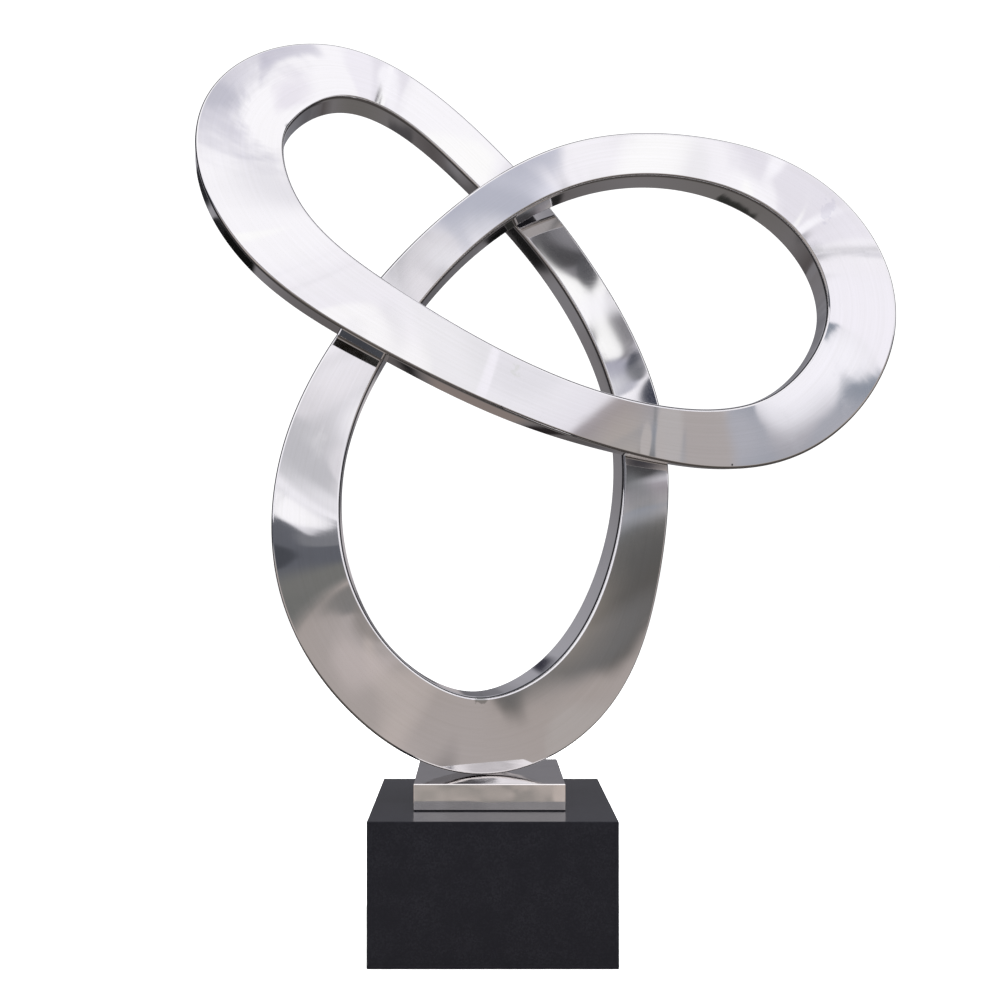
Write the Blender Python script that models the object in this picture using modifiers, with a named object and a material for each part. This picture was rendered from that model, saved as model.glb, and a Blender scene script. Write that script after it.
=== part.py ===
"""Abstract looped-band sculpture with its foot plate and plinth.

One endless band of welded box section, in mirror-polished stainless steel, leaves a small
foot, crosses itself three times and returns to the same foot. It forms a tall lower loop,
an upper-left lobe and a right-hand lobe around a small open triangle. The foot is seated on
a polished steel plate, and the plate on a square block of black granite.

Metres, +Z up. The front of the work faces -Y, +X is to the viewer's right, and the origin is
the middle of the plinth's underside.
"""

import math
from typing import NamedTuple

import bmesh
import bpy
import numpy as np

MM = 0.001

# Plinth: a square block of black granite with fine arrises
PLINTH_SIDE = 320 * MM
PLINTH_HEIGHT = 187 * MM
PLINTH_ARRIS = 1.0 * MM

# Foot plate: a thick polished steel block, set a little back and to the left on the plinth
PLATE_WIDTH = 200.5 * MM
PLATE_DEPTH = 210 * MM
PLATE_HEIGHT = 35.4 * MM
PLATE_CENTRE_X = -3.7 * MM
PLATE_CENTRE_Y = 14 * MM
PLATE_ARRIS = 1.5 * MM

# Clearance that keeps two touching pieces apart as separate solids
SEAT_GAP = 0.3 * MM

# Band: a box section whose walls face the front and back, and whose width changes along it
BAND_DEPTH = 64 * MM
BAND_ARRIS = 1.8 * MM
SECTIONS_PER_SPAN = 16


class Station(NamedTuple):
    """One place along the band's centre line; lengths in millimetres, the turn in degrees."""

    place: str
    x: float
    y: float
    z: float
    width: float
    turn: float


# The band's course, travelled from the foot up the right-hand side. x and z draw the figure
# as the front sees it, y passes one strand in front of the other where they cross, width is
# that of the front face, and turn leans the section about its own length.
BAND_COURSE = (
    Station("foot", -19, 5, 277, 107, -2),
    Station("lower loop, bottom right", 109, 40, 331, 105, -12),
    Station("lower loop, right side", 193, 54, 492, 77, -11),
    Station("right crossing, rear strand", 205, 53, 707, 64, -8),
    Station("triangle, right side", 121, 70, 909, 56, -8),
    Station("left lobe, rising", -16, 75, 1075, 61, -6),
    Station("left lobe, crown", -218, 60, 1198, 75, -5),
    Station("left lobe, outer side", -336, -35, 1103, 116, 10),
    Station("left lobe, falling", -294, -85, 952, 101, 10),
    Station("left crossing, front strand", -154, -82, 839, 84, 5),
    Station("triangle, lower side", 27, -65, 744, 72, 6),
    Station("right crossing, front strand", 214, -18, 691, 74, -2),
    Station("right lobe, underside", 408, -12, 705, 91, -1),
    Station("right lobe, tip", 497, -20, 836, 95, 0),
    Station("right lobe, upper side", 435, -15, 983, 80, -6),
    Station("right lobe, crown", 279, -5, 1060, 62, -2),
    Station("top crossing, front strand", 104, -15, 1047, 61, -2),
    Station("triangle, left side", -49, -5, 959, 62, 0),
    Station("left crossing, rear strand", -164, -15, 826, 70, 1),
    Station("lower loop, upper left", -238, -35, 669, 84, 4),
    Station("lower loop, left side", -241, -45, 499, 95, 2),
    Station("lower loop, bottom left", -159, -25, 347, 99, 5),
)

FRONT = np.array((0.0, -1.0, 0.0))


class ClosedSpline:
    """A smooth closed curve through points of any dimension, spaced by their 3-D distances."""

    def __init__(self, values: np.ndarray) -> None:
        self.values = values
        self.count = len(values)
        steps = np.roll(values[:, :3], -1, axis=0) - values[:, :3]
        self.spans = np.linalg.norm(steps, axis=1)
        self.bends = self._second_derivatives()

    def _second_derivatives(self) -> np.ndarray:
        """Solve the cyclic equations that make slope and curvature continuous."""
        matrix = np.zeros((self.count, self.count))
        right = np.zeros_like(self.values)
        for i in range(self.count):
            before, after = (i - 1) % self.count, (i + 1) % self.count
            matrix[i, before] += self.spans[before]
            matrix[i, i] += 2 * (self.spans[before] + self.spans[i])
            matrix[i, after] += self.spans[i]
            slope_out = (self.values[after] - self.values[i]) / self.spans[i]
            slope_in = (self.values[i] - self.values[before]) / self.spans[before]
            right[i] = 6 * (slope_out - slope_in)
        return np.linalg.solve(matrix, right)

    def at(self, span: int, part: float) -> tuple[np.ndarray, np.ndarray]:
        """Return the value and its slope at a fraction of the way along one span."""
        after = (span + 1) % self.count
        length = self.spans[span]
        rest = 1 - part
        value = (
            rest * self.values[span]
            + part * self.values[after]
            + ((rest**3 - rest) * self.bends[span] + (part**3 - part) * self.bends[after])
            * length**2
            / 6
        )
        slope = (self.values[after] - self.values[span]) / length + (
            (3 * part**2 - 1) * self.bends[after] - (3 * rest**2 - 1) * self.bends[span]
        ) * length / 6
        return value, slope


def unit(vector: np.ndarray) -> np.ndarray:
    """Return the vector at length one."""
    return vector / np.linalg.norm(vector)


def band_corners(value: np.ndarray, slope: np.ndarray) -> list[np.ndarray]:
    """Return the four corners of the box section at one place on the centre line."""
    centre, width, turn = value[:3], value[3], math.radians(value[4])
    along = unit(slope[:3])
    face = unit(FRONT - np.dot(FRONT, along) * along)
    side = np.cross(face, along)
    turned_face = face * math.cos(turn) + side * math.sin(turn)
    turned_side = side * math.cos(turn) - face * math.sin(turn)
    half_face = turned_face * BAND_DEPTH / 2
    half_side = turned_side * width / 2
    return [
        centre + half_side + half_face,
        centre - half_side + half_face,
        centre - half_side - half_face,
        centre + half_side - half_face,
    ]


def band_spline() -> ClosedSpline:
    """Return the band's centre line, width and turn as one closed curve."""
    rows = [(s.x * MM, s.y * MM, s.z * MM, s.width * MM, s.turn) for s in BAND_COURSE]
    return ClosedSpline(np.array(rows))


def material(name: str, colour: tuple, metallic: float, roughness: float) -> bpy.types.Material:
    """Return a Principled material with plain values."""
    made = bpy.data.materials.new(name)
    made.use_nodes = True
    shader = made.node_tree.nodes["Principled BSDF"]
    shader.inputs["Base Color"].default_value = (*colour, 1.0)
    shader.inputs["Metallic"].default_value = metallic
    shader.inputs["Roughness"].default_value = roughness
    return made


def add_arris(piece: bpy.types.Object, width: float) -> None:
    """Ease a piece's sharp edges with a small flat bevel."""
    arris = piece.modifiers.new("Arris", "BEVEL")
    arris.width = width
    arris.segments = 1
    arris.limit_method = "ANGLE"
    arris.angle_limit = math.radians(60)


def make_block(name: str, size: tuple, base: tuple, arris: float) -> bpy.types.Object:
    """Make a block from its size and the middle of its underside."""
    mesh = bpy.data.meshes.new(name)
    bm = bmesh.new()
    bmesh.ops.create_cube(bm, size=1)
    bmesh.ops.scale(bm, vec=size, verts=bm.verts)
    bm.to_mesh(mesh)
    bm.free()
    piece = bpy.data.objects.new(name, mesh)
    piece.location = (base[0], base[1], base[2] + size[2] / 2)
    add_arris(piece, arris)
    return piece


def make_band(name: str) -> bpy.types.Object:
    """Loft the box section along its course into one endless closed solid."""
    spline = band_spline()
    bm = bmesh.new()
    rings = []
    for span in range(spline.count):
        for step in range(SECTIONS_PER_SPAN):
            corners = band_corners(*spline.at(span, step / SECTIONS_PER_SPAN))
            rings.append([bm.verts.new(corner) for corner in corners])
    for ring, following in zip(rings, rings[1:] + rings[:1]):
        for i in range(4):
            j = (i + 1) % 4
            bm.faces.new((ring[i], ring[j], following[j], following[i]))
    bmesh.ops.recalc_face_normals(bm, faces=bm.faces)
    mesh = bpy.data.meshes.new(name)
    bm.to_mesh(mesh)
    bm.free()
    band = bpy.data.objects.new(name, mesh)
    add_arris(band, BAND_ARRIS)
    return band


def seat(piece: bpy.types.Object, height: float) -> None:
    """Lift or lower a piece so that its lowest corner is at a height."""
    lowest = min(corner.co.z for corner in piece.data.vertices)
    piece.location.z = height - lowest


def main() -> None:
    """Build the sculpture's three pieces in a collection of their own."""
    for leftover in list(bpy.data.objects):
        bpy.data.objects.remove(leftover, do_unlink=True)
    sculpture = bpy.data.collections.new("looped_band_sculpture")
    bpy.context.scene.collection.children.link(sculpture)

    granite = material("black_granite", (0.012, 0.012, 0.013), metallic=0.0, roughness=0.28)
    plate_steel = material("polished_plate", (0.60, 0.57, 0.54), metallic=1.0, roughness=0.12)
    band_steel = material("mirror_steel", (0.68, 0.67, 0.67), metallic=1.0, roughness=0.05)

    plinth_size = (PLINTH_SIDE, PLINTH_SIDE, PLINTH_HEIGHT)
    plinth = make_block("plinth", plinth_size, (0, 0, 0), PLINTH_ARRIS)
    plinth.data.materials.append(granite)

    plate_size = (PLATE_WIDTH, PLATE_DEPTH, PLATE_HEIGHT)
    plate_base = (PLATE_CENTRE_X, PLATE_CENTRE_Y, PLINTH_HEIGHT + SEAT_GAP)
    plate = make_block("foot_plate", plate_size, plate_base, PLATE_ARRIS)
    plate.data.materials.append(plate_steel)

    band = make_band("looped_band")
    seat(band, PLINTH_HEIGHT + SEAT_GAP + PLATE_HEIGHT + SEAT_GAP)
    band.data.materials.append(band_steel)

    for piece in (plinth, plate, band):
        sculpture.objects.link(piece)


main()
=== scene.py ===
"""Looks of the looped-band sculpture: mirror-polished band, polished foot plate, honed plinth.

Metres, +Z up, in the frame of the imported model: the front of the work faces -Y, +X is to the
viewer's right, and the origin is the middle of the plinth's underside.
"""

from __future__ import annotations

import logging
import math
from dataclasses import dataclass
from enum import Enum
from typing import NamedTuple

import bmesh
import bpy
import numpy as np
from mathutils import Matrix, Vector

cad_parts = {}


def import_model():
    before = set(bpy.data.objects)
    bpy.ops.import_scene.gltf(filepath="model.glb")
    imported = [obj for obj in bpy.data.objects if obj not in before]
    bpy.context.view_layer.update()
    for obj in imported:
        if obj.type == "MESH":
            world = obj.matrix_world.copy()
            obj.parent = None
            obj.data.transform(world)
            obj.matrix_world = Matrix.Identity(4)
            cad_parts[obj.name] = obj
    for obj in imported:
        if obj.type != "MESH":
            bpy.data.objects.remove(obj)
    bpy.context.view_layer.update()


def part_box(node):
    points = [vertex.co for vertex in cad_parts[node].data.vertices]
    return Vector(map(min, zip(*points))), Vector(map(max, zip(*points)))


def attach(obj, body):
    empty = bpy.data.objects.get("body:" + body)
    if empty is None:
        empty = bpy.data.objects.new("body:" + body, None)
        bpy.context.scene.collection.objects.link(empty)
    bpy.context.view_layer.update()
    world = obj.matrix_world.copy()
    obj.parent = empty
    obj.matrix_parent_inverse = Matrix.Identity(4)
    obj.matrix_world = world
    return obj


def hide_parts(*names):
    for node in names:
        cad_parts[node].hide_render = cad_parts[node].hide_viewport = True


logging.basicConfig(level=logging.INFO, format="%(message)s")
LOG = logging.getLogger("sculpture")

MM = 0.001

# What most functions here work on
Tree = bpy.types.NodeTree
Socket = bpy.types.NodeSocket

# What a node setting or a socket holds
Setting = float | str | bool | tuple[float, ...]

# Pairs of an angle in degrees and its colour, or its grey from 0 to 1, from the lowest angle
Stops = tuple[tuple[float, str | float], ...]

# The Mix node's sockets for colours, by their places
MIX_UNDER = 6
MIX_OVER = 7
MIX_RESULT = 2

# The mean of the Noise node's values
NOISE_MEAN = 0.5

# How a value rises gently from one end of a range to the other
SMOOTH = {"interpolation_type": "SMOOTHSTEP"}


def linear(colour: str) -> tuple[float, float, float, float]:
    """Turn an sRGB hex colour into linear light with full opacity.

    Args:
        colour: six hex digits after a hash sign.

    Returns:
        Red, green, blue and alpha.
    """
    parts = [int(colour[i : i + 2], 16) / 255 for i in (1, 3, 5)]
    red, green, blue = (p / 12.92 if p <= 0.04045 else ((p + 0.055) / 1.055) ** 2.4 for p in parts)
    return red, green, blue, 1.0


def add_node(
    tree: Tree, kind: str, values: dict[str | int, Setting | Socket] | None = None
) -> bpy.types.Node:
    """Add one node, with its settings and what feeds it.

    Args:
        tree: the node tree that gets the node.
        kind: the node's type, without the leading "ShaderNode".
        values: settings by name, and for each socket, by name or number, its own value or
            the outgoing socket that feeds it.

    Returns:
        The new node.
    """
    node = tree.nodes.new("ShaderNode" + kind)
    for name, value in (values or {}).items():
        if isinstance(value, Socket):
            tree.links.new(value, node.inputs[name])
        elif isinstance(name, str) and hasattr(node, name):
            setattr(node, name, value)
        else:
            node.inputs[name].default_value = value
    return node


@dataclass(frozen=True)
class Oval:
    """A soft-edged oval of colour, in the measure of the place that it is laid by."""

    colour: str
    middle: tuple[float, float, float]
    half_sizes: tuple[float, float, float]
    turn: tuple[float, float, float]
    # How far uneven values push the edge, and where the fade runs, in half sizes
    uneven: float
    fade: tuple[float, float]
    share: float

    def lay(self, tree: Tree, under: Socket, place: Socket, grain: Socket) -> Socket:
        """Lay the oval over what is there.

        Args:
            tree: the node tree.
            under: the colour so far.
            place: the socket with the place.
            grain: uneven values that break up the outline.

        Returns:
            The colour with the oval.
        """
        values = {"vector_type": "TEXTURE", "Vector": place, "Location": self.middle}
        values |= {"Rotation": self.turn, "Scale": self.half_sizes}
        away = add_node(tree, "Mapping", values).outputs[0]
        away = add_node(tree, "VectorMath", {"operation": "LENGTH", 0: away}).outputs["Value"]
        values = {"operation": "MULTIPLY_ADD", 0: grain, 1: self.uneven, 2: away}
        away = add_node(tree, "Math", values).outputs[0]
        begins, ends = self.fade
        values = SMOOTH | {"Value": away, "From Min": begins, "From Max": ends}
        values |= {"To Min": self.share, "To Max": 0.0}
        mask = add_node(tree, "MapRange", values).outputs["Result"]
        values = {"data_type": "RGBA", 0: mask, MIX_UNDER: under, MIX_OVER: linear(self.colour)}
        return add_node(tree, "Mix", values).outputs[MIX_RESULT]


# ---- Surroundings: what the polished steel reflects ----


class Grain(Enum):
    """How an outline in the surroundings is broken up, in waves per degree."""

    LEAFY = 2.0
    CLOUDY = 0.22


@dataclass(frozen=True)
class Patch:
    """A soft-edged oval part of the surroundings; all in degrees, seen from the sculpture.

    In front of the work an azimuth of 0 is straight in front and positive ones are to the
    viewer's right. Behind it they are counted from straight behind, positive to the left.
    """

    name: str
    azimuth: float
    elevation: float
    half_width: float
    half_height: float
    colour: str
    tilt: float = 0.0
    soft: float = 0.3
    share: float = 1.0
    ragged: float = 0.2

    def oval(self) -> Oval:
        """Return the patch as an oval, whose edge is pushed in and out by up to ragged."""
        return Oval(
            colour=self.colour,
            middle=(self.azimuth, self.elevation, 0.0),
            half_sizes=(self.half_width, self.half_height, 1.0),
            turn=(0.0, 0.0, math.radians(self.tilt)),
            uneven=self.ragged / NOISE_MEAN,
            fade=(1 - self.soft, 1 + self.soft),
            share=self.share,
        )


@dataclass(frozen=True)
class Surroundings:
    """An open, pale, overcast yard: white sky, low trees, stone ground and a dark hedge behind.

    The colours are those that the polished steel shows, so strength makes up for what the
    steel takes away.
    """

    strength: float = 1.5
    # Light on everything that isn't a mirror
    plain_strength: float = 1.15
    # How far behind the work's plane the hedge and the view behind begin and are full, as the
    # sine of the angle
    hedge_reach: tuple[float, float] = (0.12, 0.21)
    rear_reach: tuple[float, float] = (0.68, 0.84)
    # Colours by elevation in front of the work and behind it, from the lowest
    front: Stops = (
        (-90, "#3E3A38"), (-37, "#5E5955"), (-30, "#A49C97"), (-14, "#A7A09E"), (-9, "#A39B97"),
        (-3, "#A6A6A9"), (0.6, "#938D93"), (1.3, "#E4E2E9"), (8, "#EDECF1"), (16, "#F1EFF5"),
        (25, "#F8F7FB"), (90, "#FAF9FC"),
    )
    rear: Stops = (
        (-90, "#4A4542"), (-25, "#63605E"), (-16, "#696667"), (-9, "#4F4B4B"), (-5, "#6D6A6C"),
        (3, "#757376"), (9, "#89888D"), (19, "#96959B"), (25, "#909098"), (33, "#D9D8E0"),
        (50, "#EDECF2"), (90, "#F3F3F3"),
    )
    # The hedge on both sides, which draws a dark line along the band's round edges
    hedge: Stops = (
        (-90, "#4E4A47"), (-30, "#3C3938"), (-8, "#2A2829"), (-4, "#1C1B1D"), (14, "#1F1F22"),
        (30, "#2C2D31"), (52, "#3E3F44"), (90, "#4C4D53"),
    )
    # Height of the trees in front, in degrees above the horizon, by azimuth
    treetops: tuple[tuple[float, float], ...] = (
        (-12, 5.0), (-4.2, 5.8), (-3.3, 6.2), (-3.05, 5.6), (-2.8, 4.2), (-2.4, 5.4),
        (-2.0, 6.3), (-1.5, 7.6), (-1.1, 8.9), (-0.4, 9.1), (0.2, 8.9), (1.2, 2.0), (8.4, -2.0),
        (9.0, 0.0), (9.7, 0.7), (10.3, 1.9), (11.4, 2.3), (12.2, 2.7), (13.4, 3.7), (14.1, 3.5),
        (14.7, -2.0),
    )
    # The heights that the treeline's darkest and lightest grey stand for
    treetops_least: float = -2.0
    treetops_most: float = 10.0
    # The leaves' colour on each side, and the azimuths between which it changes
    leaves_left: str = "#5D5F66"
    leaves_right: str = "#868D99"
    leaves_change: tuple[float, float] = (2.0, 9.0)
    # Where the trunks fade into the ground, in degrees, and how uneven and soft the crowns are
    trunks_fade: tuple[float, float] = (-4.5, -1.0)
    crowns_uneven: float = 0.5
    crowns_soft: float = 0.2
    far_things: tuple[Patch, ...] = (
        Patch("cloud bank over the trees", -7.5, 12.93, 6.12, 4.5, "#1D4071", 9, 0.39, 0.47, 0.3),
        Patch("thin low cloud", 2.1, 13.29, 4.06, 4.02, "#353E44", -6, 0.24, 0.43, 0.3),
        Patch("grey cloud, high", 28.5, 54.72, 24.75, 9.51, "#423B7C", -8, 0.5, 0.3, 0.4),
        Patch("grey cloud, higher", 29.37, 57.16, 10.75, 3.56, "#ACADBB", 15, 0.65, 0.52, 0.4),
        Patch("thin cloud, right", 16.56, 25.89, 8.38, 5.28, "#A8A0B7", 12, 0.17, 0.3, 0.3),
        Patch("bright gap in the trees", 7.45, 1.06, 7.29, 1.69, "#F5F4FA", 36, 0.3, 1, 0.1),
        Patch("shaded ground, left", -6, -4.25, 10.72, 7, "#70706E", 12, 0.22, 1, 0.3),
        Patch("shaded ground, right", 28.62, -6.62, 6, 3, "#0D1917", -22, 0.17, 0.74),
        Patch("pavilion", 15.18, 23.06, 3.6, 2.6, "#0D0D0D", 0, 0.1, 0.74, 0.1),
        Patch("pavilion's beam", 14.04, 22.9, 2.04, 0.49, "#0D0D0D", 13, 0.18, 0.7, 0.1),
        Patch("sky beside the pavilion", 14.22, 25.19, 2.9, 1.01, "#FDFDFD", 52, 0.15, 1, 0.1),
        Patch("sky through the pavilion", 16.76, 23.99, 2.02, 0.46, "#FCFCFC", -49, 0.12, 1, 0.1),
        Patch("pavilion's awning", 18.5, 20.27, 2.63, 1.06, "#A4A4B2", -62, 0.12, 1, 0.1),
        Patch("pavilion's post", 19.35, 20.98, 1.9, 0.44, "#212836", -68, 0.18, 1, 0.1),
        Patch("pavilion's foot", 21.55, 16.65, 0.8, 3.04, "#0D1930", 15, 0.12, 0.96, 0.1),
        Patch("dark tree, right", 21.9, 4.17, 3.71, 3.98, "#0D0D0D", 21, 0.22, 0.93),
        Patch("wall under the tree", 24.09, -0.26, 0.4, 3.52, "#7F8184", 18, 0.5, 0.78),
    )
    near_things: tuple[Patch, ...] = (
        Patch("haze under the trees", 11.08, -0.69, 2.8, 1.81, "#AEAEB6", 3, 0.67, 0.89, 0.3),
        Patch("dark between the trunks", -4.75, 0.12, 1.2, 2.11, "#45474D", 0, 0.19, 1, 0.3),
        Patch("grey paving, outer right", 33.69, -7.31, 5.26, 1.82, "#6A6969", 21, 0.41),
        Patch("pale skyline, far right", 20.9, -2.97, 3.3, 2.62, "#B2AEAE", -6, 0.12),
        Patch("bright sky, right", 6.43, 13.91, 2.52, 0.78, "#F9F8FA", 9, 0.21),
        Patch("pale cloud, middle", 1.1, 14.11, 5.34, 0.81, "#DAD8DD", 43, 0.26, 0.93),
        Patch("pale paving, far right", 15.72, -12.71, 1.01, 8.07, "#B4ABA7", -36, 0.8),
        Patch("faint paving, middle", 4.39, -12.77, 30, 0.53, "#153135", -40, 0.32, 0.51),
        Patch("bright low sky, far right", 24.9, 10.15, 15.22, 1, "#DCDBE1", -24, 0.77, 0.7),
        Patch("pale high cloud, left", -2.98, 46, 3.22, 20, "#BEBDC7", -15, 0.8, 0.34),
        Patch("bright low sky, right", 16.43, 7.47, 1.65, 7.67, "#F2F0F7", -24, 0.12),
        Patch("grey cloud, left", -2.05, 18.23, 4.9, 1.17, "#757E9B", 25, 0.47, 0.52),
        Patch("pale skyline, outer right", 32.85, -3, 5.86, 3.38, "#B3A79B", -9, 0.77, 0.47),
        Patch("pale sky, right", 12.49, 15.4, 6.33, 3.69, "#E4E5E5", -30, 0.12, 0.34),
        Patch("pale paving, right", 12.82, -13.15, 4.88, 1.33, "#BEB4B2", -3, 0.47, 0.66),
        Patch("bright low sky, middle", -0.24, 11.75, 0.84, 2.22, "#E4E3E8", -33, 0.5),
        Patch("pale skyline, right", 14.55, -1.96, 7.39, 2.63, "#AAA4A3", 39, 0.23, 0.96),
        Patch("grey paving, right", 9.49, -15.89, 30, 0.9, "#847F7C", -9, 0.71, 0.73),
        Patch("pale high cloud, outer right", 47.47, 45.25, 2.94, 9.1, "#B6B4C5", -30, 0.35, 0.59),
        Patch("pale haze, left", -2.03, 4.49, 2.55, 1.01, "#9F9FA3", 64, 0.15, 0.3),
        Patch("bright sky, far right", 16.21, 18.57, 2.48, 2.46, "#FCFCFD", 24, 0.8),
        Patch("bright sky, left", -4.33, 14.33, 2.71, 0.8, "#F3F3FD", 40, 0.62, 0.62),
        Patch("bright low sky, left", -2.36, 7.72, 0.72, 1.93, "#F9F8FB", -18, 0.12),
        Patch("bright sky, outer right", 28.79, 25.5, 8.75, 4.75, "#F0EEF5", 21, 0.32),
        Patch("grey cloud, far right", 15.57, 24.07, 0.63, 0.94, "#505054", 12, 0.12, 0.96),
        Patch("pale wall, far right", 26.96, -2.91, 1.59, 1.03, "#B2ADAC", -22, 0.12),
        Patch("dark paving, far left", -7.4, -3.95, 2.1, 1.05, "#120E0A", -6, 0.26),
        Patch("dark paving, far right", 19.57, -16.61, 3, 1.3, "#0D1423", 43, 0.8, 0.85),
        Patch("bright high sky, outer right", 69.44, 56.58, 13.84, 5.78, "#EAE7EF", 39, 0.62),
        Patch("bright sky, middle", 3.54, 28.38, 4.62, 1.15, "#FDFDFD", -46, 0.12),
        Patch("pale paving, outer right", 36.58, -10.35, 1.43, 0.75, "#A9A3A0", 64, 0.24),
        Patch("pale sky, middle", 4.11, 15.56, 1.94, 0.96, "#ECE9EE", 9, 0.26, 0.55),
        Patch("dark tree, outer right", 26.6, 5.3, 2.6, 0.8, "#46454A", 0, 0.25, 1, 0.1),
        Patch("grey cloud, outer right", 28.2, 13.5, 4.4, 1.5, "#BDBBC0", -12, 0.3, 0.9),
        Patch("bright sky over the pavilion", 14.3, 26.2, 5.2, 0.78, "#F9F8FD", -9, 0.3, 0.95, 0.1),
    )
    rear_things: tuple[Patch, ...] = (
        Patch("tall trees behind, left", 24, 44, 27, 17, "#2E2F35", 0, 0.3, 0.9, 0.3),
        Patch("open sky behind, right", -17, 35, 13, 15, "#C8C7CC", 0, 0.3, 0.8),
        Patch("dark hedge, right", -37, 0, 17, 22, "#2A2A2D", 0, 0.3, 0.9),
        Patch("dark hedge, far left", 41, 2, 11, 24, "#2A2A2D", 0, 0.3, 0.9),
        Patch("shrubs straight behind", 2.03, 5, 16.14, 12.85, "#22232A", 12, 0.42, 0.51, 0.3),
        Patch("black hedge", 26.3, -0.7, 3.0, 5.1, "#0D0D0D", 6, 0.12, 1, 0.1),
        Patch("dark bench", 22.3, -8.18, 1.6, 0.57, "#131313", 18, 0.12, 1, 0.3),
        Patch("dark bench, left", 12.9, -11.1, 0.66, 0.94, "#0D0D0E", -90, 0.8, 1, 0.3),
        Patch("dark shrub, right", -14, -8.81, 1.67, 3, "#0D0D0D", 0, 0.15, 0.89, 0.3),
        Patch("green shrub", 9.45, -22.27, 5.53, 1.08, "#0D110D", 0, 0.12, 0.85, 0.5),
        Patch("dark gap, high", 17.9, 21.01, 2.52, 0.42, "#0D0D1F", -9, 0.54, 0.93, 0.3),
        Patch("grey ground behind, left", 9.78, -15.19, 5, 3, "#786E6A", 0, 0.23),
        Patch("dark ground behind, right", -12.6, -4.57, 3.96, 1, "#0D0D0D", -67, 0.12),
        Patch("dark ground behind, left", 24.87, -15.34, 3.15, 0.53, "#403E40", 73, 0.26, 0.92),
        Patch("grey path behind, left", 24.06, -6.1, 1.5, 1.3, "#727073", -61, 0.35),
        Patch("black hedge, upper end", 20.6, 11, 4.6, 1.5, "#202023", -42, 0.25, 1, 0.3),
        Patch("black hedge, joint", 25.7, 4.2, 1.0, 1.6, "#18181A", 12, 0.2, 1, 0.1),
        Patch("black step", 2.6, -12.5, 2.4, 1.3, "#201C1D"),
        Patch("pale haze straight behind", -1.8, 2.4, 2.1, 2.8, "#A5A0A2", 0, 0.4, 0.8),
    )

    def colour_by_angle(self, tree: Tree, angle: Socket, stops: Stops) -> Socket:
        """Give each angle its colour.

        Args:
            tree: the world's node tree.
            angle: the socket with the angle in degrees.
            stops: the angles and their colours.

        Returns:
            The socket with the colour.
        """
        first, last = stops[0][0], stops[-1][0]
        values = {"Value": angle, "From Min": first, "From Max": last}
        share = add_node(tree, "MapRange", values).outputs["Result"]
        node = add_node(tree, "ValToRGB", {"Fac": share})
        bands = node.color_ramp.elements
        ready = len(bands)
        for number, (stop, colour) in enumerate(stops):
            spot = (stop - first) / (last - first)
            band = bands[number] if number < ready else bands.new(spot)
            band.position = spot
            band.color = linear(colour) if isinstance(colour, str) else (colour,) * 3 + (1.0,)
        return node.outputs["Color"]

    def treeline(self, tree: Tree, azimuth: Socket) -> Socket:
        """Work out the trees' height for each azimuth.

        Args:
            tree: the world's node tree.
            azimuth: the socket with the azimuth in degrees.

        Returns:
            The socket with the height in degrees.
        """
        span = self.treetops_most - self.treetops_least
        greys = tuple((turn, (top - self.treetops_least) / span) for turn, top in self.treetops)
        levels = self.colour_by_angle(tree, azimuth, greys)
        level = add_node(tree, "RGBToBW", {"Color": levels}).outputs[0]
        values = {"operation": "MULTIPLY_ADD", 0: level, 1: span, 2: self.treetops_least}
        return add_node(tree, "Math", values).outputs[0]

    def spot(
        self, tree: Tree, axes: bpy.types.bpy_prop_collection, lift: Socket, side: float
    ) -> Socket:
        """Find the azimuth and elevation of a direction.

        Args:
            tree: the world's node tree.
            axes: the sockets with the direction's three parts.
            lift: the elevation in degrees.
            side: -1 to count the azimuth from the front, 1 to count it from behind.

        Returns:
            The socket with both, in degrees.
        """
        deep = add_node(tree, "Math", {"operation": "MULTIPLY", 0: axes["Y"], 1: side})
        wide = add_node(tree, "Math", {"operation": "MULTIPLY", 0: axes["X"], 1: -side})
        values = {"operation": "ARCTAN2", 0: wide.outputs[0], 1: deep.outputs[0]}
        turn = add_node(tree, "Math", values).outputs[0]
        turn = add_node(tree, "Math", {"operation": "MULTIPLY", 0: turn, 1: math.degrees(1)})
        return add_node(tree, "CombineXYZ", {"X": turn.outputs[0], "Y": lift}).outputs[0]

    def grains(self, tree: Tree, spot: Socket) -> dict[Grain, Socket]:
        """Make the uneven values that break up outlines.

        Args:
            tree: the world's node tree.
            spot: the azimuth and elevation.

        Returns:
            For each grain, a socket with values about zero.
        """
        made = {}
        for grain in Grain:
            values = {"noise_dimensions": "2D", "Vector": spot, "Scale": grain.value}
            values |= {"Detail": 3.0, "Roughness": 0.55}
            uneven = add_node(tree, "TexNoise", values).outputs[0]
            values = {"operation": "SUBTRACT", 0: uneven, 1: NOISE_MEAN}
            made[grain] = add_node(tree, "Math", values).outputs[0]
        return made

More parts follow.
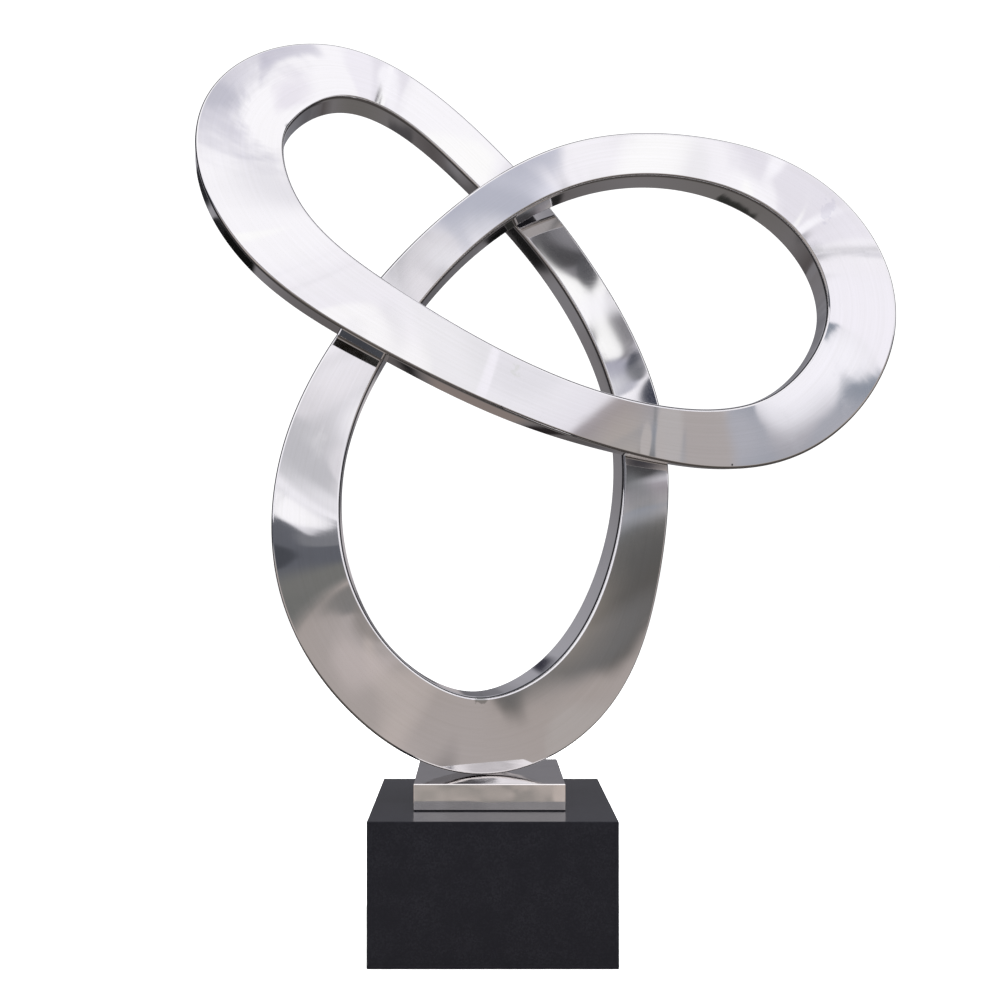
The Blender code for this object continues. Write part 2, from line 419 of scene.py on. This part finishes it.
    def plant(self, tree: Tree, under: Socket, lift: Socket, spot: Socket, grain: Socket) -> Socket:
        """Plant the low trees in front, darker at the left and bluer at the right.

        Args:
            tree: the world's node tree.
            under: the colour so far.
            lift: the elevation in degrees.
            spot: the azimuth and elevation.
            grain: uneven values that break up the crowns.

        Returns:
            The colour with the trees.
        """
        turn = add_node(tree, "SeparateXYZ", {"Vector": spot}).outputs["X"]
        tops = self.treeline(tree, turn)
        values = {"operation": "MULTIPLY_ADD", 0: grain, 1: self.crowns_uneven, 2: tops}
        tops = add_node(tree, "Math", values).outputs[0]
        above = add_node(tree, "Math", {"operation": "SUBTRACT", 0: tops, 1: lift}).outputs[0]
        rises = []
        for value, (low, high) in (
            (above, (-self.crowns_soft, self.crowns_soft)),
            (lift, self.trunks_fade),
            (turn, self.leaves_change),
        ):
            values = SMOOTH | {"Value": value, "From Min": low, "From Max": high}
            rises.append(add_node(tree, "MapRange", values).outputs["Result"])
        crown, foot, side = rises
        leaves = add_node(tree, "Math", {"operation": "MULTIPLY", 0: crown, 1: foot}).outputs[0]
        left, right = linear(self.leaves_left), linear(self.leaves_right)
        values = {"data_type": "RGBA", 0: side, MIX_UNDER: left, MIX_OVER: right}
        tint = add_node(tree, "Mix", values).outputs[MIX_RESULT]
        values = {"data_type": "RGBA", 0: leaves, MIX_UNDER: under, MIX_OVER: tint}
        return add_node(tree, "Mix", values).outputs[MIX_RESULT]

    def build(self) -> bpy.types.World:
        """Make the world: the yard in mirror images, plain studio white for everything else.

        Returns:
            The world.
        """
        world = bpy.data.worlds.new("pale_yard")
        world.use_nodes = True
        tree = world.node_tree
        tree.nodes.clear()
        where = add_node(tree, "TexCoord").outputs["Generated"]
        axes = add_node(tree, "SeparateXYZ", {"Vector": where}).outputs
        lift = add_node(tree, "Math", {"operation": "ARCSINE", 0: axes["Z"]}).outputs[0]
        values = {"operation": "MULTIPLY", 0: lift, 1: math.degrees(1)}
        lift = add_node(tree, "Math", values).outputs[0]
        front_spot = self.spot(tree, axes, lift, -1.0)
        rear_spot = self.spot(tree, axes, lift, 1.0)
        grains = self.grains(tree, front_spot)
        cloudy = grains[Grain.CLOUDY]
        front = self.colour_by_angle(tree, lift, self.front)
        for patch in self.far_things:
            front = patch.oval().lay(tree, front, front_spot, cloudy)
        front = self.plant(tree, front, lift, front_spot, grains[Grain.LEAFY])
        for patch in self.near_things:
            front = patch.oval().lay(tree, front, front_spot, cloudy)
        rear = self.colour_by_angle(tree, lift, self.rear)
        for patch in self.rear_things:
            rear = patch.oval().lay(tree, rear, rear_spot, cloudy)
        hedge = self.colour_by_angle(tree, lift, self.hedge)
        around = front
        for view, (begins, full) in ((hedge, self.hedge_reach), (rear, self.rear_reach)):
            values = SMOOTH | {"Value": axes["Y"], "From Min": begins, "From Max": full}
            share = add_node(tree, "MapRange", values).outputs["Result"]
            values = {"data_type": "RGBA", 0: share, MIX_UNDER: around, MIX_OVER: view}
            around = add_node(tree, "Mix", values).outputs[MIX_RESULT]
        yard = add_node(tree, "Background", {"Strength": self.strength, "Color": around})
        white = {"Strength": self.plain_strength, "Color": linear("#FFFFFF")}
        plain = add_node(tree, "Background", white)
        ray = add_node(tree, "LightPath").outputs["Is Glossy Ray"]
        both = add_node(tree, "MixShader", {0: ray, 1: plain.outputs[0], 2: yard.outputs[0]})
        add_node(tree, "OutputWorld", {"Surface": both.outputs[0]})
        return world


# ---- Finishes ----


def new_material(name: str) -> tuple[bpy.types.Material, Tree, bpy.types.Node]:
    """Start a finish.

    Args:
        name: the material's name.

    Returns:
        A new material, its node tree and its shader.
    """
    made = bpy.data.materials.new(name)
    made.use_nodes = True
    return made, made.node_tree, made.node_tree.nodes["Principled BSDF"]


def add_waves(
    tree: Tree, shader: bpy.types.Node, place: Socket, length: float, height: float
) -> None:
    """Let the surface swell and dip where it was ground unevenly.

    Args:
        tree: the material's node tree.
        shader: the material's shader.
        place: the socket with the place.
        length: how long the waves are.
        height: how high they are on either side of the mean.
    """
    values = {"Vector": place, "Scale": 1 / length, "Detail": 1.0, "Roughness": 0.4}
    wave = add_node(tree, "TexNoise", values).outputs[0]
    values = {"operation": "MULTIPLY", 0: wave, 1: height / NOISE_MEAN}
    raised = add_node(tree, "Math", values).outputs[0]
    bump = add_node(tree, "Bump", {"Strength": 1.0, "Distance": 1.0, "Height": raised})
    tree.links.new(bump.outputs[0], shader.inputs["Normal"])


@dataclass(frozen=True)
class Mark:
    """A small mark on the band, in millimetres as the front sees it."""

    name: str
    x: float
    z: float
    half_width: float
    half_height: float
    colour: str
    tilt: float
    ragged: float
    share: float
    # Far enough to reach the band wherever it runs
    half_depth: float = 150.0
    # Where a smooth mark's edge fades, in half sizes
    fade: tuple[float, float] = (0.6, 1.2)

    def oval(self) -> Oval:
        """Return the mark as an oval, whose fade makes up for the mean of the noise."""
        return Oval(
            colour=self.colour,
            middle=(self.x * MM, 0.0, self.z * MM),
            half_sizes=(self.half_width * MM, self.half_depth * MM, self.half_height * MM),
            turn=(0.0, math.radians(self.tilt), 0.0),
            uneven=self.ragged / NOISE_MEAN,
            fade=(self.fade[0] + self.ragged, self.fade[1] + self.ragged),
            share=self.share,
        )


@dataclass(frozen=True)
class MirrorPolishedStainless:
    """Welded stainless sheet, ground flush and buffed to a mirror.

    It gives the eye a clear neutral image, a little soft, that bends gently where the grinding
    left the sheet uneven, with the faintest lines along the band and a few dull smudges.
    """

    colour: str = "#D6D5D6"
    lined_colour: str = "#D2D1D1"
    roughness: float = 0.035
    haze: float = 0.05
    wave_length: float = 110 * MM
    wave_height: float = 0.05 * MM
    # Buffing lines are a few hundredths of a millimetre apart; drawn 3 mm apart to show
    line_spacing: float = 3 * MM
    line_length: float = 260 * MM
    # The uneven values between which the lines go from one colour to the other
    line_range: tuple[float, float] = (0.2, 0.8)
    # Dull smudges left by hands and cloths, and the uneven values from clear to dullest
    smudge: float = 60 * MM
    smudge_range: tuple[float, float] = (0.5, 0.8)
    # The small marks, and the size of the nibbles in their edges
    mark_edge: float = 6 * MM
    marks: tuple[Mark, ...] = (
        Mark("smear on the triangle's lower side", 31, 766, 10, 7, "#C3C6BC", 50, 1.65, 0.4),
        Mark("scuff on the right lobe", 452, 988, 9, 17, "#BDBCC3", 20, 1.35, 0.45),
        Mark("stain over the foot", -14, 325, 9, 5, "#6F736F", 0, 0.9, 0.6),
        Mark("nick on the lower edge", 12, 718, 1.4, 1.8, "#1A1A1A", 0, 0.3, 0.9),
        Mark("nick on the lower edge, right", 325, 645, 1.4, 1.8, "#1A1A1A", 0, 0.3, 0.9),
    )

    def make(self) -> bpy.types.Material:
        """Polish the band's steel: waves, dull smudges, faint lines and a few marks.

        Returns:
            The material.
        """
        made, tree, shader = new_material("mirror_polished_stainless")
        place = add_node(tree, "TexCoord").outputs["Object"]
        add_waves(tree, shader, place, self.wave_length, self.wave_height)
        values = {"Vector": place, "Scale": 1 / self.smudge, "Detail": 4.0}
        values |= {"Roughness": 0.6, "Distortion": 0.6}
        smudge = add_node(tree, "TexNoise", values).outputs[0]
        low, high = self.smudge_range
        values = {"Value": smudge, "From Min": low, "From Max": high}
        values |= {"To Min": self.roughness, "To Max": self.roughness + self.haze}
        rough = add_node(tree, "MapRange", values).outputs["Result"]
        tree.links.new(rough, shader.inputs["Roughness"])
        along = add_node(tree, "UVMap", {"uv_map": "along_band"}).outputs["UV"]
        stretch = (1 / self.line_length, 1 / self.line_spacing, 1.0)
        values = {"operation": "MULTIPLY", 0: along, 1: stretch}
        lined = add_node(tree, "VectorMath", values).outputs[0]
        values = {"noise_dimensions": "2D", "Vector": lined, "Scale": 1.0}
        lines = add_node(tree, "TexNoise", values).outputs[0]
        low, high = self.line_range
        values = {"Value": lines, "From Min": low, "From Max": high}
        shade = add_node(tree, "MapRange", values).outputs["Result"]
        under, over = linear(self.lined_colour), linear(self.colour)
        values = {"data_type": "RGBA", 0: shade, MIX_UNDER: under, MIX_OVER: over}
        tone = add_node(tree, "Mix", values).outputs[MIX_RESULT]
        values = {"Vector": place, "Scale": 1 / self.mark_edge, "Detail": 3.0}
        nibbles = add_node(tree, "TexNoise", values).outputs[0]
        for mark in self.marks:
            tone = mark.oval().lay(tree, tone, place, nibbles)
        tree.links.new(tone, shader.inputs["Base Color"])
        shader.inputs["Metallic"].default_value = 1.0
        return made


@dataclass(frozen=True)
class PolishedPlateSteel:
    """Thick stainless plate, flame cut, ground and polished by hand.

    It gives the eye a clear but swimming image, because a ground plate is less even than
    rolled sheet.
    """

    colour: str = "#EDE9E6"
    rubbed_colour: str = "#F2EEEB"
    roughness: float = 0.05
    rubbed_roughness: float = 0.11
    # Hand-rubbed clouds in the polish, and the uneven values from clear to dullest
    rubbed_patch: float = 25 * MM
    rubbed_range: tuple[float, float] = (0.4, 0.75)
    wave_length: float = 42 * MM
    wave_height: float = 0.22 * MM

    def make(self) -> bpy.types.Material:
        """Polish the plate's steel: waves and hand-rubbed clouds.

        Returns:
            The material.
        """
        made, tree, shader = new_material("polished_plate_steel")
        place = add_node(tree, "TexCoord").outputs["Object"]
        add_waves(tree, shader, place, self.wave_length, self.wave_height)
        values = {"Vector": place, "Scale": 1 / self.rubbed_patch, "Detail": 5.0}
        cloud = add_node(tree, "TexNoise", values).outputs[0]
        low, high = self.rubbed_range
        values = {"Value": cloud, "From Min": low, "From Max": high}
        values |= {"To Min": self.roughness, "To Max": self.rubbed_roughness}
        rough = add_node(tree, "MapRange", values).outputs["Result"]
        tree.links.new(rough, shader.inputs["Roughness"])
        under, over = linear(self.rubbed_colour), linear(self.colour)
        values = {"data_type": "RGBA", 0: cloud, MIX_UNDER: under, MIX_OVER: over}
        tone = add_node(tree, "Mix", values).outputs[MIX_RESULT]
        tree.links.new(tone, shader.inputs["Base Color"])
        shader.inputs["Metallic"].default_value = 1.0
        return made


@dataclass(frozen=True)
class HonedBlackGranite:
    """Fine-grained black granite, sawn and honed to a satin.

    It gives the eye a near-black block with the finest grey speckle, which turns lighter and
    mirrors what stands on it where it is seen at a low angle.
    """

    dark: str = "#131317"
    light: str = "#19191D"
    # The dark crystals' and the light ones', which wear less flat
    roughness: tuple[float, float] = (0.17, 0.25)
    # A honed face throws back little of what is straight before it
    shine: float = 0.09
    # Crystals are 0.3 to 1 mm across; drawn 2 mm across so that they show
    crystal: float = 2.0 * MM
    crystal_relief: float = 0.01 * MM
    # The greys between which crystals go from dark to light
    crystal_range: tuple[float, float] = (0.15, 0.5)
    # Drifts of more and fewer pale crystals
    drift: float = 30 * MM

    def make(self) -> bpy.types.Material:
        """Hone the granite: a fine speckle that drifts, with the crystals just proud.

        Returns:
            The material.
        """
        made, tree, shader = new_material("honed_black_granite")
        place = add_node(tree, "TexCoord").outputs["Object"]
        values = {"Vector": place, "Scale": 1 / self.crystal}
        crystals = add_node(tree, "TexVoronoi", values).outputs["Color"]
        grey = add_node(tree, "RGBToBW", {"Color": crystals}).outputs[0]
        values = {"Vector": place, "Scale": 1 / self.drift, "Detail": 5.0}
        cloud = add_node(tree, "TexNoise", values).outputs[0]
        speck = add_node(tree, "Math", {"operation": "MULTIPLY", 0: grey, 1: cloud}).outputs[0]
        low, high = self.crystal_range
        values = {"Value": speck, "From Min": low, "From Max": high}
        shade = add_node(tree, "MapRange", values).outputs["Result"]
        dark, light = linear(self.dark), linear(self.light)
        values = {"data_type": "RGBA", 0: shade, MIX_UNDER: dark, MIX_OVER: light}
        tone = add_node(tree, "Mix", values).outputs[MIX_RESULT]
        tree.links.new(tone, shader.inputs["Base Color"])
        smoothest, roughest = self.roughness
        values = {"Value": speck, "To Min": smoothest, "To Max": roughest}
        rough = add_node(tree, "MapRange", values).outputs["Result"]
        tree.links.new(rough, shader.inputs["Roughness"])
        values = {"operation": "MULTIPLY", 0: grey, 1: self.crystal_relief}
        grain = add_node(tree, "Math", values).outputs[0]
        bump = add_node(tree, "Bump", {"Strength": 1.0, "Distance": 1.0, "Height": grain})
        tree.links.new(bump.outputs[0], shader.inputs["Normal"])
        shader.inputs["Specular IOR Level"].default_value = self.shine
        return made


# ---- Band ----


class Station(NamedTuple):
    """One place along the band's centre line; lengths in millimetres, the turn in degrees."""

    name: str
    x: float
    y: float
    z: float
    width: float
    turn: float


# The same course as the solid model's, travelled from the foot up the right-hand side
BAND_COURSE = (
    Station("foot", -19, 5, 277, 107, -2),
    Station("lower loop, bottom right", 109, 40, 331, 105, -12),
    Station("lower loop, right side", 193, 54, 492, 77, -11),
    Station("right crossing, rear strand", 205, 53, 707, 64, -8),
    Station("triangle, right side", 121, 70, 909, 56, -8),
    Station("left lobe, rising", -16, 75, 1075, 61, -6),
    Station("left lobe, crown", -218, 60, 1198, 75, -5),
    Station("left lobe, outer side", -336, -35, 1103, 116, 10),
    Station("left lobe, falling", -294, -85, 952, 101, 10),
    Station("left crossing, front strand", -154, -82, 839, 84, 5),
    Station("triangle, lower side", 27, -65, 744, 72, 6),
    Station("right crossing, front strand", 214, -18, 691, 74, -2),
    Station("right lobe, underside", 408, -12, 705, 91, -1),
    Station("right lobe, tip", 497, -20, 836, 95, 0),
    Station("right lobe, upper side", 435, -15, 983, 80, -6),
    Station("right lobe, crown", 279, -5, 1060, 62, -2),
    Station("top crossing, front strand", 104, -15, 1047, 61, -2),
    Station("triangle, left side", -49, -5, 959, 62, 0),
    Station("left crossing, rear strand", -164, -15, 826, 70, 1),
    Station("lower loop, upper left", -238, -35, 669, 84, 4),
    Station("lower loop, left side", -241, -45, 499, 95, 2),
    Station("lower loop, bottom left", -159, -25, 347, 99, 5),
)

# The way that the work faces
FRONT = np.array((0.0, -1.0, 0.0))


class ClosedSpline:
    """A smooth closed curve through points of any dimension, spaced by their 3-D distances."""

    def __init__(self, values: np.ndarray) -> None:
        """Solve the cyclic equations that make slope and curvature continuous.

        Args:
            values: one row for each point; the first three columns are its place.
        """
        self.values = values
        self.count = len(values)
        steps = np.roll(values[:, :3], -1, axis=0) - values[:, :3]
        self.spans = np.linalg.norm(steps, axis=1)
        matrix = np.zeros((self.count, self.count))
        right = np.zeros_like(values)
        for i in range(self.count):
            before, after = (i - 1) % self.count, (i + 1) % self.count
            matrix[i, before] += self.spans[before]
            matrix[i, i] += 2 * (self.spans[before] + self.spans[i])
            matrix[i, after] += self.spans[i]
            slope_out = (values[after] - values[i]) / self.spans[i]
            slope_in = (values[i] - values[before]) / self.spans[before]
            right[i] = 6 * (slope_out - slope_in)
        self.bends = np.linalg.solve(matrix, right)

    def at(self, span: int, part: float) -> tuple[np.ndarray, np.ndarray]:
        """Find one place on the curve.

        Args:
            span: the number of the point where the span starts.
            part: how far along the span, from 0 to 1.

        Returns:
            The value and its slope.
        """
        after = (span + 1) % self.count
        length = self.spans[span]
        rest = 1 - part
        bend = (rest**3 - rest) * self.bends[span] + (part**3 - part) * self.bends[after]
        value = rest * self.values[span] + part * self.values[after] + bend * length**2 / 6
        slope = (self.values[after] - self.values[span]) / length
        slope = slope + (3 * part**2 - 1) * self.bends[after] * length / 6
        slope = slope - (3 * rest**2 - 1) * self.bends[span] * length / 6
        return value, slope


@dataclass
class LoopedBand:
    """The endless band: a box section lofted along its course, with rounded edges."""

    depth: float = 64 * MM
    # The polisher's belt rounds each edge a little way over the face and further down the wall
    edge_over_face: float = 4.0 * MM
    edge_down_wall: float = 8.0 * MM
    sections_per_span: int = 36
    points_across_face: int = 9
    points_across_wall: int = 6
    points_round_edge: int = 6
    finish: MirrorPolishedStainless = MirrorPolishedStainless()

    def frames(self) -> tuple[np.ndarray, np.ndarray, np.ndarray, np.ndarray, np.ndarray]:
        """Work out the section's place, width and directions all along the course.

        Returns:
            Centres, widths, face directions, side directions and distances travelled.
        """
        rows = [(s.x * MM, s.y * MM, s.z * MM, s.width * MM, s.turn) for s in BAND_COURSE]
        spline = ClosedSpline(np.array(rows))
        centres, widths, faces, sides = [], [], [], []
        for span in range(spline.count):
            for step in range(self.sections_per_span):
                value, slope = spline.at(span, step / self.sections_per_span)
                along = slope[:3] / np.linalg.norm(slope[:3])
                face = FRONT - np.dot(FRONT, along) * along
                face /= np.linalg.norm(face)
                side = np.cross(face, along)
                turn = math.radians(value[4])
                centres.append(value[:3])
                widths.append(value[3])
                faces.append(face * math.cos(turn) + side * math.sin(turn))
                sides.append(side * math.cos(turn) - face * math.sin(turn))
        places = np.array(centres)
        steps = np.linalg.norm(np.roll(places, -1, axis=0) - places, axis=1)
        travelled = np.concatenate([[0.0], np.cumsum(steps)])
        return places, np.array(widths), np.array(faces), np.array(sides), travelled

    def outline(self, half_width: np.ndarray) -> tuple[np.ndarray, np.ndarray, np.ndarray]:
        """Draw the section: four flats joined by round edges.

        Args:
            half_width: half the front face's width at each section.

        Returns:
            For each point of the outline, its distance along the side direction and along the
            face direction at each section, and its heading in the section's own plane.
        """
        over, down = self.edge_over_face, self.edge_down_wall
        inner_width = half_width - over
        inner_depth = self.depth / 2 - down
        sideways, facing, heading = [], [], []

        def add(across: float, deep: float, angle: float) -> None:
            """Add one point, on the oval that rounds a place in the section.

            Args:
                across: the place along the side direction, from -1 to 1.
                deep: the place along the face direction, from -1 to 1.
                angle: the way that the point faces, from the face direction anticlockwise.
            """
            stretch = math.hypot(over * math.sin(angle), down * math.cos(angle))
            sideways.append(across * inner_width - math.sin(angle) * over**2 / stretch)
            reach = deep * inner_depth + math.cos(angle) * down**2 / stretch
            facing.append(np.full_like(half_width, reach))
            heading.append((-math.cos(angle), -math.sin(angle)))

        # Each flat starts at one corner of the section and runs anticlockwise to the next
        corners = ((1, 1), (-1, 1), (-1, -1), (1, -1))
        for number, (start, end) in enumerate(zip(corners, corners[1:] + corners[:1])):
            flat_face = number % 2 == 0
            count = self.points_across_face if flat_face else self.points_across_wall
            for step in range(count):
                part = step / (count - 1)
                across = start[0] + (end[0] - start[0]) * part
                deep = start[1] + (end[1] - start[1]) * part
                add(across, deep, math.pi / 2 * number)
            for step in range(1, self.points_round_edge + 1):
                part = step / (self.points_round_edge + 1)
                add(end[0], end[1], math.pi / 2 * (number + part))
        return np.array(sideways), np.array(facing), np.array(heading)

    def skin(self) -> tuple[np.ndarray, np.ndarray, np.ndarray, np.ndarray]:
        """Loft the section along the course.

        Returns:
            Points and outward normals, by section and place in the outline, then the distances
            travelled along the band and round its mean section.
        """
        centres, widths, faces, sides, travelled = self.frames()
        sideways, facing, heading = self.outline(widths / 2)
        points = (
            centres[:, None, :]
            + sideways.T[:, :, None] * sides[:, None, :]
            + facing.T[:, :, None] * faces[:, None, :]
        )
        forward = np.roll(points, -1, axis=0) - np.roll(points, 1, axis=0)
        round_section = (
            heading[None, :, :1] * sides[:, None, :] + heading[None, :, 1:] * faces[:, None, :]
        )
        normals = np.cross(forward, round_section)
        normals /= np.linalg.norm(normals, axis=2, keepdims=True)
        if np.sum(normals * (points - centres[:, None, :])) < 0:
            normals = -normals
        mean_side, mean_face, _ = self.outline(np.full(1, widths.mean() / 2))
        mean_outline = np.hstack([mean_side, mean_face])
        steps = np.linalg.norm(np.roll(mean_outline, -1, axis=0) - mean_outline, axis=1)
        girth = np.concatenate([[0.0], np.cumsum(steps)])
        return points, normals, travelled, girth

    def quads(self, points: np.ndarray, normals: np.ndarray) -> np.ndarray:
        """Join neighbouring points into quads that face outwards.

        Args:
            points: places by section and place in the outline.
            normals: outward normals at the same places.

        Returns:
            Four point numbers for each quad.
        """
        rings, around = points.shape[:2]
        index = np.arange(rings * around).reshape(rings, around)
        ahead = np.roll(index, -1, axis=0)
        beside = np.roll(index, -1, axis=1)
        both = np.roll(ahead, -1, axis=1)
        made = np.stack([index, ahead, both, beside], axis=2).reshape(-1, 4)
        flat = points.reshape(-1, 3)
        here, onward, _, across = made[0]
        facing = np.cross(flat[onward] - flat[here], flat[across] - flat[here])
        if np.dot(facing, normals.reshape(-1, 3)[here]) < 0:
            made = made[:, ::-1]
        return made

    def map_length(self, mesh: bpy.types.Mesh, travelled: np.ndarray, girth: np.ndarray) -> None:
        """Map the mesh by the distances along the band and round its section, in metres.

        Args:
            mesh: the band's mesh.
            travelled: the distance along the band at each section, and at the end.
            girth: the distance round the mean section at each point, and at the end.
        """
        rings, around = len(travelled) - 1, len(girth) - 1
        corners = np.empty(len(mesh.loops), np.int64)
        mesh.loops.foreach_get("vertex_index", corners)
        ring = (corners // around).reshape(-1, 4)
        spot = (corners % around).reshape(-1, 4)
        # A quad that closes the loop ends at the full distance, not at nought
        last_ring = ring.max(axis=1, keepdims=True) == rings - 1
        last_spot = spot.max(axis=1, keepdims=True) == around - 1
        ring = np.where((ring == 0) & last_ring, rings, ring)
        spot = np.where((spot == 0) & last_spot, around, spot)
        layer = mesh.uv_layers.new(name="along_band")
        places = np.stack([travelled[ring.ravel()], girth[spot.ravel()]], axis=1)
        layer.data.foreach_set("uv", places.ravel())

    def build(self) -> bpy.types.Object:
        """Loft the band, give it exact normals and a map along its length, and seat it.

        Returns:
            The band.
        """
        points, normals, travelled, girth = self.skin()
        mesh = bpy.data.meshes.new("mirror_band")
        flat = points.reshape(-1, 3)
        mesh.from_pydata(flat.tolist(), [], self.quads(points, normals).tolist())
        mesh.shade_smooth()
        self.map_length(mesh, travelled, girth)
        mesh.normals_split_custom_set_from_vertices(normals.reshape(-1, 3).tolist())
        band = bpy.data.objects.new("mirror_band", mesh)
        bpy.context.scene.collection.objects.link(band)
        band.location.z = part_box("looped_band")[0].z - flat[:, 2].min()
        mesh.materials.append(self.finish.make())
        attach(band, "root")
        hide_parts("looped_band")
        return band


# ---- Blocks ----


@dataclass
class EasedBlock:
    """A block that stands for one of the solid model's, with its edges rounded over."""

    name: str
    node: str
    slot: str
    edge_radius: float
    finish: PolishedPlateSteel | HonedBlackGranite
    edge_segments: int = 5

    def build(self) -> bpy.types.Object:
        """Make the block to the size of its node, round its edges and dress it.

        Returns:
            The block.
        """
        low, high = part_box(self.node)
        mesh = bpy.data.meshes.new(self.name)
        bm = bmesh.new()
        bmesh.ops.create_cube(bm, size=1)
        bmesh.ops.scale(bm, vec=high - low, verts=bm.verts)
        bmesh.ops.translate(bm, vec=(low + high) / 2, verts=bm.verts)
        bm.to_mesh(mesh)
        bm.free()
        mesh.shade_smooth()
        block = bpy.data.objects.new(self.name, mesh)
        bpy.context.scene.collection.objects.link(block)
        round_over = block.modifiers.new("RoundedEdges", "BEVEL")
        round_over.width = self.edge_radius
        round_over.segments = self.edge_segments
        round_over.limit_method = "NONE"
        round_over.harden_normals = True
        mesh.materials.append(self.finish.make())
        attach(block, "root")
        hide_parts(self.node)
        return block


# ---- Studio ----


@dataclass
class Studio:
    """Pale floor, soft light and the viewer's place."""

    floor_side: float = 60.0
    # Clear of the plinth's underside, so that the two never share a plane
    floor_drop: float = 0.2 * MM
    floor_colour: str = "#F6F6F7"
    floor_roughness: float = 0.9
    floor_shine: float = 0.1
    light_side: float = 3.0
    light_place: tuple[float, float, float] = (0.0, -0.4, 3.2)
    light_watts: float = 260.0
    eye: tuple[float, float, float] = (-16.5 * MM, -1922 * MM, 543.2 * MM)
    lens_mm: float = 50.08
    sensor_mm: float = 36.0
    shift: tuple[float, float] = (0.0202, 0.0405)

    def lay_floor(self) -> None:
        """Lay a pale painted floor under the plinth."""
        mesh = bpy.data.meshes.new("floor")
        bm = bmesh.new()
        bmesh.ops.create_grid(bm, x_segments=1, y_segments=1, size=self.floor_side / 2)
        bm.to_mesh(mesh)
        bm.free()
        floor = bpy.data.objects.new("floor", mesh)
        floor.location.z = -self.floor_drop
        bpy.context.scene.collection.objects.link(floor)
        paint, _, shader = new_material("pale_floor_paint")
        shader.inputs["Base Color"].default_value = linear(self.floor_colour)
        shader.inputs["Roughness"].default_value = self.floor_roughness
        shader.inputs["Specular IOR Level"].default_value = self.floor_shine
        mesh.materials.append(paint)
        # The polished steel mirrors the yard's stone ground, not this paint
        floor.visible_glossy = False

    def hang_light(self) -> None:
        """Hang a wide soft light over the work, out of sight of the viewer and the steel."""
        lamp = bpy.data.lights.new("overhead_softbox", "AREA")
        lamp.shape = "SQUARE"
        lamp.size = self.light_side
        lamp.energy = self.light_watts
        hung = bpy.data.objects.new("overhead_softbox", lamp)
        hung.location = self.light_place
        hung.visible_glossy = False
        hung.visible_camera = False
        bpy.context.scene.collection.objects.link(hung)

    def place_camera(self) -> None:
        """Set up the camera where the viewer stands, level and looking at the work's front."""
        camera = bpy.data.cameras.new("viewer")
        camera.lens = self.lens_mm
        camera.sensor_width = self.sensor_mm
        camera.shift_x, camera.shift_y = self.shift
        placed = bpy.data.objects.new("viewer", camera)
        placed.location = self.eye
        placed.rotation_euler = (math.pi / 2, 0.0, 0.0)
        bpy.context.scene.collection.objects.link(placed)
        bpy.context.scene.camera = placed

    def build(self) -> None:
        """Set up the floor, the light, the camera and the surroundings."""
        self.lay_floor()
        self.hang_light()
        self.place_camera()
        bpy.context.scene.view_settings.view_transform = "Standard"
        bpy.context.scene.world = Surroundings().build()


def main() -> None:
    """Build the sculpture's pieces, then the studio around them."""
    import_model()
    pieces = (
        LoopedBand(),
        EasedBlock(
            name="polished_foot_plate",
            node="foot_plate",
            slot="polished_plate",
            edge_radius=1.5 * MM,
            finish=PolishedPlateSteel(),
        ),
        EasedBlock(
            name="granite_plinth",
            node="plinth",
            slot="black_granite",
            edge_radius=1.2 * MM,
            finish=HonedBlackGranite(),
        ),
    )
    for piece in pieces:
        made = piece.build()
        LOG.info("%s: %d faces", made.name, len(made.data.polygons))
    Studio().build()


if __name__ == "__main__":
    main()
